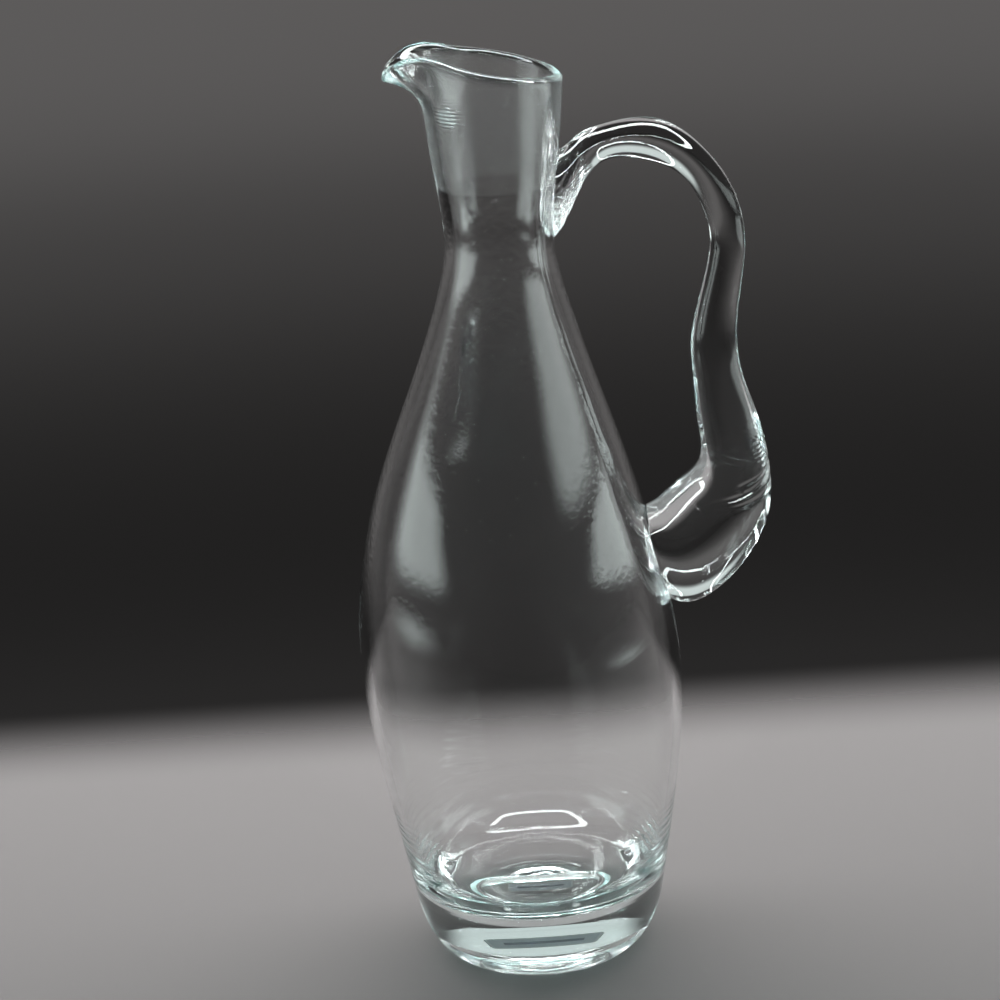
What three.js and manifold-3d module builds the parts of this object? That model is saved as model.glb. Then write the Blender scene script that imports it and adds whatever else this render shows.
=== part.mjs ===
// A hand-made glass pouring decanter: a blown body with a thick base, a pinched spout and a ground neck,
// a handle drawn from a second gather of glass, and a clear label stuck under the base.
// Millimetres, +Z up, handle towards +X, spout towards -X, standing on Z = 0.
import * as THREE from 'three';
import { mergeVertices } from 'three/addons/utils/BufferGeometryUtils.js';
import Module from 'manifold-3d';

// Outside of the body: heights, radii and the slope of the wall (radius over height) at each level
const footHeight = 20;
const footRadius = 42;
const footSlope = 0.165;
const bellyHeight = 100;
const bellyRadius = 53;
const shoulderHeight = 170;
const shoulderRadius = 40.4;
const shoulderSlope = -0.33;
const collarHeight = 215;
const collarRadius = 24.6;
const collarSlope = -0.32;
const throatHeight = 247;
const throatRadius = 17.4;
const neckHeight = 270;
const neckRadius = 20;
const neckSlope = 0.11;
const rimHeight = 302.8;
const rimRadius = 23;
const rimSlope = 0.09;

// Walls, lip and base
const wall = 3;
const lipThickness = 3.4;
const baseThickness = 20;
const floorRadius = 32.5;
const floorDish = 4;
const floorCornerHeight = 20;
const ringRadius = 30.5;
const ringWidth = 3.5;
const recessDepth = 8.5;
const recessSlope = 5;

// Fullness of the two rounded corners of the base: where the handles of their curves lie,
// as shares of the corner's width and height
const footBow = [{ out: 0.48, up: 0.075 }, { out: 0.85, up: 0.5 }];
const floorBow = [{ out: 0.45, up: 0.12 }, { out: 0.86, up: 0.45 }];

// What handwork did to the round shape: a shoulder drawn aside, a sloping rim and a pinched spout
const leanShift = 3.4;
const leanHeight = 150;
const leanSpread = 60;
const rimTilt = 0.2;
const spoutRoot = 17;
const spoutReach = 12;
const spoutSpread = 0.5;
const spoutLift = 2.6;
const liftSpread = 0.85;
const tipDroop = 7.2;
const tipBead = 6;
const tipSpread = 0.34;
const pinchDepth = 1.5;
const pinchAngle = 0.95;
const pinchSpread = 0.35;

// Handle: heights of its two joints on the body, how far its arch and its lower swell stand out of their
// joints, the widths of the rod and of the swell, and the gap at the joints
const lowerJointHeight = 140;
const upperJointHeight = 262;
const archReach = 59.5;
const swellReach = 38.5;
const rodWidth = 12.4;
const swellWidth = 25.6;
const jointGap = 0.3;

// Label
const labelLength = 24;
const labelWidth = 12;
const labelThickness = 0.25;
const labelCorner = 1.5;

// Fineness of the meshes
const bodySides = 56;
const handleSides = 16;
const handleRings = 54;

const lipRadius = lipThickness / 2;
const lipHeight = rimHeight - lipRadius;
const levels = [
  { height: footHeight, radius: footRadius, slope: footSlope, steps: 5 },
  { height: bellyHeight, radius: bellyRadius, slope: 0, steps: 6 },
  { height: shoulderHeight, radius: shoulderRadius, slope: shoulderSlope, steps: 3 },
  { height: collarHeight, radius: collarRadius, slope: collarSlope, steps: 5 },
  { height: throatHeight, radius: throatRadius, slope: 0, steps: 3 },
  { height: neckHeight, radius: neckRadius, slope: neckSlope, steps: 7 },
  { height: lipHeight, radius: rimRadius, slope: rimSlope, steps: 0 },
];

function clamp01(value) {
  return Math.min(1, Math.max(0, value));
}

// Radius of the outside wall at a height: a cubic through the two levels around it, with their slopes
function outerRadius(height) {
  const next = levels.findIndex((level, i) => i > 0 && height <= level.height);
  const upper = levels[next < 0 ? levels.length - 1 : next];
  const lower = levels[levels.indexOf(upper) - 1];
  const span = upper.height - lower.height;
  const t = clamp01((height - lower.height) / span);
  const blend = t * t * (3 - 2 * t);
  const bendUp = span * lower.slope * t * (1 - t) * (1 - t);
  const bendDown = span * upper.slope * t * t * (1 - t);
  return lower.radius * (1 - blend) + upper.radius * blend + bendUp - bendDown;
}

// Sideways shift of the round wall at a height, towards the spout
function lean(height) {
  return -leanShift * Math.exp(-(((height - leanHeight) / leanSpread) ** 2));
}

// Heights of the wall's rings from the foot to the lip
function wallHeights() {
  const heights = [];
  levels.slice(0, -1).forEach((level, i) => {
    const rise = levels[i + 1].height - level.height;
    for (let step = 0; step < level.steps; step += 1) {
      heights.push(level.height + (rise * step) / level.steps);
    }
  });
  heights.push(lipHeight);
  return heights;
}

// Rounded edge between the resting ring and the foot of the wall
function footCorner(grow) {
  const out = footRadius - ringRadius;
  const curve = new THREE.CubicBezierCurve(
    new THREE.Vector2(ringRadius + grow, 0),
    ...footBow.map((bow) => new THREE.Vector2(ringRadius + bow.out * out + grow, bow.up * footHeight)),
    new THREE.Vector2(footRadius + grow, footHeight),
  );
  return curve.getPoints(6).slice(0, -1);
}

function outsideProfile(grow) {
  const side = wallHeights().map((height) => new THREE.Vector2(outerRadius(height) + grow, height));
  return [...footCorner(grow), ...side];
}

// Half round over the lip, from the outside wall to the bore
function lipProfile() {
  const centre = rimRadius - lipRadius;
  const points = [];
  for (let step = 1; step <= 5; step += 1) {
    const angle = (Math.PI * step) / 6;
    points.push(new THREE.Vector2(
      centre + lipRadius * Math.cos(angle),
      lipHeight + lipRadius * Math.sin(angle),
    ));
  }
  return points;
}

// Thickness of the wall at a height: the lip's thickness at the rim and the plain wall below the neck
function wallThickness(height) {
  const up = clamp01((height - throatHeight) / (lipHeight - throatHeight));
  return wall + (lipThickness - wall) * up;
}

function boreRadius(height) {
  return outerRadius(height) - wallThickness(height);
}

// Bore from the lip down, round the inner corner and over the dished floor to the axis
function insideProfile() {
  const floorEdge = baseThickness + floorDish;
  const cornerTop = floorEdge + floorCornerHeight;
  const side = wallHeights()
    .filter((height) => height > cornerTop)
    .reverse()
    .map((height) => new THREE.Vector2(boreRadius(height), height));
  const top = boreRadius(cornerTop);
  const bows = floorBow.map((bow) => new THREE.Vector2(
    floorRadius + bow.out * (top - floorRadius),
    floorEdge + bow.up * floorCornerHeight,
  ));
  const corner = new THREE.CubicBezierCurve(
    new THREE.Vector2(floorRadius, floorEdge),
    ...bows,
    new THREE.Vector2(top, cornerTop),
  ).getPoints(6).reverse();
  const floor = [2 / 3, 1 / 3, 0].map((share) => new THREE.Vector2(
    floorRadius * share,
    baseThickness + floorDish * share * share,
  ));
  return [...side, ...corner, ...floor];
}

// Resting ring round the hollow that was pushed up under the base, with a flat middle for the label
function undersideProfile() {
  const ringInner = ringRadius - ringWidth;
  return [
    new THREE.Vector2(0, recessDepth),
    new THREE.Vector2(ringInner - recessSlope, recessDepth),
    new THREE.Vector2(ringInner, 0),
  ];
}

// Moves one point of the round vessel to where handwork left it
function shapeByHand(point) {
  const height = point.z;
  const radius = Math.hypot(point.x, point.y);
  if (height > throatHeight && radius > 0) {
    const angle = Math.atan2(point.y, -point.x);
    const rise = clamp01((height - throatHeight) / (rimHeight - throatHeight));
    const curl = clamp01((height - rimHeight + spoutRoot) / spoutRoot) ** 2;
    const lobe = Math.exp(-((angle / spoutSpread) ** 2));
    const pinch = Math.exp(-(((Math.abs(angle) - pinchAngle) / pinchSpread) ** 2));
    const across = clamp01((radius - boreRadius(height)) / wallThickness(height));
    const out = curl * (spoutReach * lobe - pinchDepth * pinch);
    const brow = Math.exp(-((angle / liftSpread) ** 2));
    const tip = Math.exp(-((angle / tipSpread) ** 2));
    const drop = curl * (tip * (tipDroop + tipBead * across) - spoutLift * brow);
    point.x *= (radius + out) / radius;
    point.y *= (radius + out) / radius;
    point.z -= rimTilt * point.x * rise * rise + drop;
  }
  point.x += lean(height);
  return point;
}

function turnedByHand(profile) {
  const geometry = new THREE.LatheGeometry(profile, bodySides);
  geometry.rotateX(Math.PI / 2);
  const places = geometry.getAttribute('position');
  const point = new THREE.Vector3();
  for (let i = 0; i < places.count; i += 1) {
    shapeByHand(point.fromBufferAttribute(places, i));
    places.setXYZ(i, point.x, point.y, point.z);
  }
  return geometry;
}

function bodyGeometry() {
  return turnedByHand([
    ...undersideProfile(), ...outsideProfile(0), ...lipProfile(), ...insideProfile(),
  ]);
}

// The body as a filled solid, grown by the joint's gap, which trims the ends of the handle
function trimmerGeometry() {
  const outside = outsideProfile(jointGap);
  return turnedByHand([
    new THREE.Vector2(0, 0), ...outside, new THREE.Vector2(0, lipHeight),
  ]);
}

// Handle sections from the neck to the belly. Each lists its upper or outer edge and its inner edge, across
// and up from the joint it belongs to, and its width. Across is a share of the arch's reach or of the
// swell's, up is a share of the height between the joints, and the width is a share of the rod's or swell's.
const archSections = [
  { outer: [-0.084, 0.082], inner: [-0.084, -0.119], width: 1.129 },
  { outer: [0.025, 0.093], inner: [0.017, -0.139], width: 1.21 },
  { outer: [0.134, 0.131], inner: [0.092, -0.049], width: 1.065 },
  { outer: [0.255, 0.152], inner: [0.227, 0.048], width: 0.968 },
  { outer: [0.466, 0.166], inner: [0.437, 0.062], width: 1 },
  { outer: [0.664, 0.136], inner: [0.605, 0.031], width: 1.016 },
  { outer: [0.845, 0.048], inner: [0.718, -0.02], width: 0.952 },
  { outer: [0.961, -0.053], inner: [0.783, -0.089], width: 0.903 },
  { outer: [1, -0.179], inner: [0.812, -0.172], width: 0.903 },
];
const swellSections = [
  { outer: [0.803, 0.687], inner: [0.481, 0.701], width: 0.484 },
  { outer: [0.761, 0.551], inner: [0.374, 0.566], width: 0.531 },
  { outer: [0.813, 0.439], inner: [0.377, 0.455], width: 0.586 },
  { outer: [0.927, 0.325], inner: [0.395, 0.34], width: 0.664 },
  { outer: [1, 0.18], inner: [0.405, 0.234], width: 0.766 },
  { outer: [0.935, 0.033], inner: [0.247, 0.179], width: 0.883 },
  { outer: [0.584, -0.121], inner: [0.132, 0.15], width: 0.977 },
  { outer: [0.208, -0.173], inner: [0.065, 0.131], width: 1 },
  { outer: [-0.026, -0.131], inner: [0, 0.115], width: 0.969 },
  { outer: [-0.234, -0.098], inner: [-0.234, 0.082], width: 0.898 },
];

function jointPlace(height) {
  return new THREE.Vector2(outerRadius(height) + lean(height), height);
}

const upperJoint = jointPlace(upperJointHeight);
const lowerJoint = jointPlace(lowerJointHeight);

// Smooth edge of the handle, with the half width carried in Y
function handleEdge(name) {
  const rise = upperJointHeight - lowerJointHeight;
  const place = (joint, reach, width) => (section) => new THREE.Vector3(
    joint.x + reach * section[name][0],
    (width * section.width) / 2,
    joint.y + rise * section[name][1],
  );
  return new THREE.CatmullRomCurve3([
    ...archSections.map(place(upperJoint, archReach, rodWidth)),
    ...swellSections.map(place(lowerJoint, swellReach, swellWidth)),
  ]);
}

// Oval rings from edge to edge, closed at both ends by a flat fan
function handleGeometry() {
  const outerEdge = handleEdge('outer');
  const innerEdge = handleEdge('inner');
  const places = [];
  const faces = [];
  for (let ring = 0; ring <= handleRings; ring += 1) {
    const outer = outerEdge.getPoint(ring / handleRings);
    const inner = innerEdge.getPoint(ring / handleRings);
    for (let side = 0; side < handleSides; side += 1) {
      const turn = (2 * Math.PI * side) / handleSides;
      const share = 0.5 + 0.5 * Math.cos(turn);
      places.push(
        inner.x + (outer.x - inner.x) * share,
        outer.y * Math.sin(turn),
        inner.z + (outer.z - inner.z) * share,
      );
    }
  }
  const corner = (ring, side) => ring * handleSides + (side % handleSides);
  for (let ring = 0; ring < handleRings; ring += 1) {
    for (let side = 0; side < handleSides; side += 1) {
      const a = corner(ring, side);
      const b = corner(ring, side + 1);
      const c = corner(ring + 1, side + 1);
      const d = corner(ring + 1, side);
      faces.push(a, c, b, a, d, c);
    }
  }
  for (let side = 1; side < handleSides - 1; side += 1) {
    faces.push(corner(0, 0), corner(0, side), corner(0, side + 1));
    faces.push(corner(handleRings, 0), corner(handleRings, side + 1), corner(handleRings, side));
  }
  const geometry = new THREE.BufferGeometry();
  geometry.setAttribute('position', new THREE.Float32BufferAttribute(places, 3));
  geometry.setIndex(faces);
  return geometry;
}

const wasm = await Module();
wasm.setup();

function solidOf(geometry) {
  const plain = geometry.clone();
  plain.deleteAttribute('normal');
  plain.deleteAttribute('uv');
  const merged = mergeVertices(plain);
  return new wasm.Manifold(new wasm.Mesh({
    numProp: 3,
    vertProperties: new Float32Array(merged.getAttribute('position').array),
    triVerts: new Uint32Array(merged.getIndex().array),
  }));
}

function geometryOf(solid) {
  const mesh = solid.getMesh();
  const geometry = new THREE.BufferGeometry();
  geometry.setAttribute('position', new THREE.BufferAttribute(new Float32Array(mesh.vertProperties), 3));
  geometry.setIndex(new THREE.BufferAttribute(new Uint32Array(mesh.triVerts), 1));
  geometry.computeVertexNormals();
  return geometry;
}

// Clear film with rounded corners, its upper face against the recess under the base
function labelGeometry() {
  const x = labelLength / 2;
  const y = labelWidth / 2;
  const r = labelCorner;
  const outline = new THREE.Shape();
  outline.moveTo(-x + r, -y);
  outline.lineTo(x - r, -y);
  outline.absarc(x - r, -y + r, r, -Math.PI / 2, 0);
  outline.lineTo(x, y - r);
  outline.absarc(x - r, y - r, r, 0, Math.PI / 2);
  outline.lineTo(-x + r, y);
  outline.absarc(-x + r, y - r, r, Math.PI / 2, Math.PI);
  outline.lineTo(-x, -y + r);
  outline.absarc(-x + r, -y + r, r, Math.PI, Math.PI * 1.5);
  return new THREE.ExtrudeGeometry(outline, { depth: labelThickness, bevelEnabled: false, curveSegments: 4 });
}

const clearGlass = new THREE.MeshStandardMaterial({
  color: 0xdcebe6, roughness: 0.04, metalness: 0, transparent: true, opacity: 0.35,
});
const handleGlass = new THREE.MeshStandardMaterial({
  color: 0xd6e8e2, roughness: 0.04, metalness: 0, transparent: true, opacity: 0.4,
});
const clearFilm = new THREE.MeshStandardMaterial({
  color: 0xeef0ee, roughness: 0.25, metalness: 0, transparent: true, opacity: 0.5,
});

const body = new THREE.Mesh(bodyGeometry(), clearGlass);
body.name = 'glass_body';

const handle = new THREE.Mesh(
  geometryOf(solidOf(handleGeometry()).subtract(solidOf(trimmerGeometry()))),
  handleGlass,
);
handle.name = 'applied_handle';

const label = new THREE.Mesh(labelGeometry(), clearFilm);
label.name = 'base_label';
label.position.set(lean(0), 0, recessDepth - labelThickness);

// The vessel's axis stands off the origin so that the whole outline is centred on it
const handleReach = lowerJoint.x + swellReach;
const bellyReach = bellyRadius - lean(bellyHeight);
const decanter = new THREE.Group();
decanter.position.x = (bellyReach - handleReach) / 2;
decanter.add(body, handle, label);

export default decanter;
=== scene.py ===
# %% [markdown]
# # A blown glass pouring decanter
# The real object is one bubble of clear glass with a second gather of glass drawn into its handle, and a
# clear label stuck under the base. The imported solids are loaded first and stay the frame: every surface
# below is worked out in the same place and at the same size, with finer rings and the marks that the
# maker's tools left.

# %% Frame and units
import math

import bpy
import numpy as np
from mathutils import Matrix, Vector


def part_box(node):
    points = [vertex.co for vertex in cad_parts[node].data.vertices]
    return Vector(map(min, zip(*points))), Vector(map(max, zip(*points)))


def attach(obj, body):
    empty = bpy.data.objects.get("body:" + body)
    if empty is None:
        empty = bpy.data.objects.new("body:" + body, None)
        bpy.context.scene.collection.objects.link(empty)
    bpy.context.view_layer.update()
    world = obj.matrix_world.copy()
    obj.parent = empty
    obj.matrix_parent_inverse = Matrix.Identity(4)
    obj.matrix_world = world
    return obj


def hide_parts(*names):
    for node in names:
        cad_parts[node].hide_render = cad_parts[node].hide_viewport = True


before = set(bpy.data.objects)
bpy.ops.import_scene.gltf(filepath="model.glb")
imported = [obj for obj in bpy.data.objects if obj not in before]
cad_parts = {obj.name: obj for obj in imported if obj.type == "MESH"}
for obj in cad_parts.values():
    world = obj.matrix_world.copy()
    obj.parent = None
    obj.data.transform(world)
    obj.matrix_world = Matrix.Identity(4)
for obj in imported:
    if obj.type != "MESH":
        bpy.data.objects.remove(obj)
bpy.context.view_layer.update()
MM = 0.001
scene = bpy.context.scene
scene.view_settings.view_transform = "Standard"

label_low, label_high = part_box("base_label")
AXIS_X = (label_low.x + label_high.x) / 2
print("vessel axis at x =", round(AXIS_X / MM, 2), "mm")

# %% [markdown]
# ## Camera
# A camera can be placed by eye, but glass is judged by its outline, so this one stands where the photograph
# was taken from: about a metre away, above the rim, looking down on the middle of the vessel. It was held a
# little askew, which is a turn about its own line of sight, and a small shift stands for the crop.

# %% Camera
CAMERA_DISTANCE = 1039.7 * MM
CAMERA_HEIGHT = 507.1 * MM
AIM_HEIGHT = 150 * MM
CAMERA_ROLL = math.radians(-3.623)
SENSOR_WIDTH = 36
LENS = 120.45
SHIFT = (-0.01756, 0.02168)
FARTHEST = 50

camera_data = bpy.data.cameras.new("photo_camera")
camera = bpy.data.objects.new("photo_camera", camera_data)
scene.collection.objects.link(camera)
camera_data.sensor_width = SENSOR_WIDTH
camera_data.lens = LENS
camera_data.shift_x, camera_data.shift_y = SHIFT
camera_data.clip_end = FARTHEST
eye = Vector((AXIS_X, -CAMERA_DISTANCE, CAMERA_HEIGHT))
aim = Vector((AXIS_X, 0, AIM_HEIGHT))
facing = (aim - eye).to_track_quat("-Z", "Y").to_matrix()
rolled = facing @ Matrix.Rotation(CAMERA_ROLL, 3, "Z")
camera.matrix_world = Matrix.Translation(eye) @ rolled.to_4x4()
scene.camera = camera
print("camera", [round(v, 3) for v in eye], "lens", LENS)

# %% [markdown]
# ## Meshes from grids
# A shape that a lathe or a rod could make is a function of two numbers, such as how far along a profile and
# how far round. The function is worked out for a whole grid at once, and the grid is then joined into faces.
# A pole, where a ring shrinks to a point, gets one vertex and a fan of triangles, so that the surface stays
# closed.


# %% Grid helpers
def ring_faces(rings, sides):
    """Four-sided faces between neighbouring rings of a grid whose rings close on themselves."""
    ring, side = np.meshgrid(np.arange(rings - 1), np.arange(sides), indexing="ij")
    after = (side + 1) % sides
    a, b = ring * sides + side, ring * sides + after
    return np.stack([a, b, b + sides, a + sides], axis=-1).reshape(-1, 4)


def pole_faces(ring_start, sides, pole, flip):
    """A fan of triangles from one ring to a single vertex."""
    side = np.arange(sides)
    a, b = ring_start + side, ring_start + (side + 1) % sides
    tip = np.full(sides, pole)
    return np.stack([b, a, tip] if flip else [a, b, tip], axis=-1)


def closed_by_poles(rings, sides, flip):
    """Triangles that close the first and the last ring with two poles, which follow all rings in the mesh."""
    first_pole = rings * sides
    return np.concatenate([
        pole_faces(0, sides, first_pole, flip),
        pole_faces(first_pole - sides, sides, first_pole + 1, not flip),
    ])


print("two rings of 6 sides and their poles:", len(ring_faces(2, 6)), "+", len(closed_by_poles(2, 6, True)))


# %% Pieces and marks
def piece_from(name, points, quads, triangles):
    """A smooth-shaded mesh object at the origin from points in millimetres and two arrays of faces."""
    mesh = bpy.data.meshes.new(name)
    mesh.from_pydata((points * MM).tolist(), [], quads.tolist() + triangles.tolist())
    mesh.polygons.foreach_set("use_smooth", np.ones(len(mesh.polygons), bool))
    mesh.update()
    piece = bpy.data.objects.new(name, mesh)
    scene.collection.objects.link(piece)
    print(name, len(points), "points", len(quads) * 2 + len(triangles), "triangles")
    return piece


def mark_points(piece, name, values):
    """Writes one number per point under a name that a material can read."""
    marks = piece.data.attributes.new(name, "FLOAT", "POINT")
    marks.data.foreach_set("value", np.asarray(values, np.float32))


print("a piece is built in mm and stored in m, at a scale of", MM)

# %% [markdown]
# ## Outline of the body
# The outline is a handful of levels, each with a radius and the slope of the wall there. A cubic between
# levels is enough for a solid, but polished glass shows every jump in bending, so the cubic is also averaged
# over a few millimetres of height.

# %% Outline of the body
#                    height radius  slope
LEVELS = np.array([[20.0, 42.0, 0.165],
                   [100.0, 53.0, 0.0],
                   [170.0, 40.4, -0.33],
                   [215.0, 24.6, -0.32],
                   [247.0, 17.4, 0.0],
                   [270.0, 20.0, 0.11],
                   [301.05, 23.0, 0.09]])
FOOT_HEIGHT, FOOT_RADIUS = LEVELS[0, 0], LEVELS[0, 1]
BELLY_HEIGHT, THROAT_HEIGHT = LEVELS[1, 0], LEVELS[4, 0]
LIP_HEIGHT, RIM_RADIUS = LEVELS[-1, 0], LEVELS[-1, 1]
SMOOTHING, SMOOTHING_REACH, SMOOTHING_STEPS = 4.0, 2.5, 21


def level_radius(height):
    """Radius of the outside wall: a cubic through the two levels around a height, with their slopes."""
    step = np.clip(np.searchsorted(LEVELS[:, 0], height) - 1, 0, len(LEVELS) - 2)
    low, high = LEVELS[step], LEVELS[step + 1]
    span = high[..., 0] - low[..., 0]
    t = (height - low[..., 0]) / span
    u = np.clip(t, 0, 1)
    blend = u * u * (3 - 2 * u)
    bend = span * u * (1 - u) * (low[..., 2] * (1 - u) - high[..., 2] * u)
    beyond = span * (np.minimum(t, 0) * low[..., 2] + np.maximum(t - 1, 0) * high[..., 2])
    return low[..., 1] * (1 - blend) + high[..., 1] * blend + bend + beyond


def outer_radius(height):
    """The level cubic averaged over a bell-shaped stretch of height, so that its bending changes smoothly."""
    offsets = np.linspace(-SMOOTHING_REACH, SMOOTHING_REACH, SMOOTHING_STEPS)
    weights = np.exp(-offsets ** 2 / 2)
    near = level_radius(np.asarray(height)[..., None] + offsets * SMOOTHING)
    return near @ (weights / weights.sum())


print("belly", outer_radius(BELLY_HEIGHT).round(2), "throat", outer_radius(THROAT_HEIGHT).round(2), "mm")

# %% Wall and bore
WALL, LIP_THICKNESS = 3.0, 3.4
RIM_HEIGHT = LIP_HEIGHT + LIP_THICKNESS / 2


def wall_thickness(height):
    """The plain wall, thickening evenly from the throat to the lip."""
    up = np.clip((height - THROAT_HEIGHT) / (LIP_HEIGHT - THROAT_HEIGHT), 0, 1)
    return WALL + (LIP_THICKNESS - WALL) * up


def bore_radius(height):
    """Radius of the inside wall: the outside one less the wall."""
    return outer_radius(height) - wall_thickness(height)


print("bore at the throat", bore_radius(THROAT_HEIGHT).round(2), "mm")

# %% [markdown]
# ## Handwork
# A wheel-turned vessel would be round. This one was drawn aside at the shoulder, its rim was cut on a slope,
# and its lip was pulled out and pinched into a spout while soft. Each of these is a smooth bump of height or
# of the angle round the axis, measured from the spout, and moves the points of the round shape.

# %% Handwork
LEAN_SHIFT, LEAN_HEIGHT, LEAN_SPREAD = 3.4, 150, 60
RIM_TILT = 0.2
SPOUT_ROOT, SPOUT_REACH, SPOUT_SPREAD = 17, 12, 0.5
SPOUT_LIFT, LIFT_SPREAD = 2.6, 0.85
TIP_DROOP, TIP_BEAD, TIP_SPREAD = 7.2, 6, 0.34
PINCH_DEPTH, PINCH_ANGLE, PINCH_SPREAD = 1.5, 0.95, 0.35
LEAST_RADIUS = 1e-6


def bell(value, spread):
    """One at nought, falling off on both sides with the square of the value over the spread."""
    return np.exp(-(value / spread) ** 2)


def lean(height):
    """Sideways shift of the wall at a height, towards the spout."""
    return -LEAN_SHIFT * bell(height - LEAN_HEIGHT, LEAN_SPREAD)


def shape_by_hand(radius, height, turn):
    """Points of the hand-worked vessel for arrays of radius, height and angle round the axis.

    The lip moves out by a bell of the angle from the spout and in by bells at the two pinches. It drops by a
    narrow bell at the tip and lifts by a wide one. The rim tilts with the square of the way up the neck."""
    x, y = radius * np.cos(turn), radius * np.sin(turn)
    angle = np.arctan2(y, -x)
    rise = np.clip((height - THROAT_HEIGHT) / (RIM_HEIGHT - THROAT_HEIGHT), 0, None)
    curl = np.clip((height - RIM_HEIGHT + SPOUT_ROOT) / SPOUT_ROOT, 0, 1) ** 2
    across = np.clip((radius - bore_radius(height)) / wall_thickness(height), 0, 1)
    pinch = bell(np.abs(angle) - PINCH_ANGLE, PINCH_SPREAD)
    out = curl * (SPOUT_REACH * bell(angle, SPOUT_SPREAD) - PINCH_DEPTH * pinch)
    droop = bell(angle, TIP_SPREAD) * (TIP_DROOP + TIP_BEAD * across)
    drop = curl * (droop - SPOUT_LIFT * bell(angle, LIFT_SPREAD))
    grow = 1 + out / np.maximum(radius, LEAST_RADIUS)
    x, y = x * grow, y * grow
    z = height - RIM_TILT * x * rise ** 2 - drop
    return np.stack([AXIS_X / MM + x + lean(height), y, z], axis=-1)


print("outside of the spout's lip at", shape_by_hand(RIM_RADIUS, LIP_HEIGHT, np.pi).round(1), "mm")

# %% [markdown]
# ## Profile of the glass
# The wall has two faces, so the profile runs all the way round the glass: out from the middle of the
# underside, up the outside, over the lip, down the bore and in over the floor. Turning that closed profile
# gives one closed skin, which is what a renderer needs to bend light twice, once on the way in and once on
# the way out. The underside is hollow, as a maker leaves it so that the vessel stands on a ring.

# %% Underside and foot
RING_RADIUS, RING_WIDTH = 30.5, 3.5
RECESS_DEPTH, RECESS_SLOPE = 8.5, 5
# Extra rings that keep the faces of the flat stretches short
FLAT_SHARES, RING_INSET = (0.4, 0.75), 1
# Where the two middle corners of a curve stand, as shares of its way across and up
RECESS_BOW = ((0.4, 0), (0.8, 0.6))
FOOT_BOW = ((0.48, 0.075), (0.85, 0.5))
RECESS_STEPS, FOOT_STEPS = 14, 24


def bowed(start, end, bow, count):
    """Points on the cubic curve from a start to an end that leans on two corners at shares of the way."""
    start, end = np.array(start, float), np.array(end, float)
    first, second = start + (end - start) * np.array(bow)
    t = np.linspace(0, 1, count)[:, None]
    return start * (1 - t) ** 3 + 3 * first * t * (1 - t) ** 2 + 3 * second * t ** 2 * (1 - t) + end * t ** 3


def underside_profile():
    """The flat middle of the hollow, its side as a curve that leaves the flat level, and the ring."""
    inner = RING_RADIUS - RING_WIDTH
    flat = inner - RECESS_SLOPE
    middle = [(flat * share, RECESS_DEPTH) for share in FLAT_SHARES]
    side = bowed((flat, RECESS_DEPTH), (inner, 0), RECESS_BOW, RECESS_STEPS)
    return np.concatenate([middle, side, [(RING_RADIUS - RING_INSET, 0)]])


def foot_profile():
    """One curve from the ring out and up to the wall."""
    return bowed((RING_RADIUS, 0), (FOOT_RADIUS, FOOT_HEIGHT), FOOT_BOW, FOOT_STEPS)[:-1]


below_wall = np.concatenate([underside_profile(), foot_profile()])
print("underside and foot:", len(below_wall), "rings")

# %% Lip, bore and floor
BASE_THICKNESS, FLOOR_RADIUS, FLOOR_DISH, FLOOR_CORNER = 20, 32.5, 4, 20
FLOOR_EDGE = BASE_THICKNESS + FLOOR_DISH
CORNER_TOP = FLOOR_EDGE + FLOOR_CORNER
FLOOR_BOW = ((0.45, 0.12), (0.86, 0.45))
LIP_STEPS, BORE_STEPS, CORNER_STEPS, FLOOR_STEPS = 16, 136, 50, 38


def lip_profile():
    """Half a circle from the outside over the lip to the bore."""
    angle = np.linspace(0, np.pi, LIP_STEPS)[1:-1]
    half = LIP_THICKNESS / 2
    return np.stack([RIM_RADIUS - half + half * np.cos(angle), LIP_HEIGHT + half * np.sin(angle)], axis=-1)


def bore_profile():
    """The inside wall from the lip down to the corner."""
    height = np.linspace(LIP_HEIGHT, CORNER_TOP, BORE_STEPS)[:-1]
    return np.stack([bore_radius(height), height], axis=-1)


def floor_profile():
    """The rounded corner between wall and floor, then a floor dished with the square of the radius."""
    start, end = (FLOOR_RADIUS, FLOOR_EDGE), (bore_radius(CORNER_TOP), CORNER_TOP)
    corner = bowed(start, end, FLOOR_BOW, CORNER_STEPS)[::-1]
    share = np.linspace(1, 0, FLOOR_STEPS)[1:-1]
    floor = np.stack([FLOOR_RADIUS * share, BASE_THICKNESS + FLOOR_DISH * share ** 2], axis=-1)
    return np.concatenate([corner, floor])


lip = lip_profile()
inner_wall = np.concatenate([bore_profile(), floor_profile()])
print("lip:", len(lip), "rings, bore and floor:", len(inner_wall), "rings")

# %% [markdown]
# ## Chill ripples
# The lower wall cooled first, against the mould, and froze in fine level ripples that show at its sides. A
# bump in the material would tilt the shading alone. These ripples also bend what is seen through the wall,
# so they move the rings themselves, square to the wall, and fade out up the wall and away from the sides.

# %% Chill ripples
RIPPLE_DEPTH, RIPPLE_PITCH = 0.08, 2.8
RIPPLE_WANDER, WANDER_LENGTH = 1.5, 5
RIPPLE_LOW, RIPPLE_FULL, RIPPLE_EASE, RIPPLE_HIGH = 20, 26, 36, 56
RIPPLED_STEPS, PLAIN_STEPS = 96, 138


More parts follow.
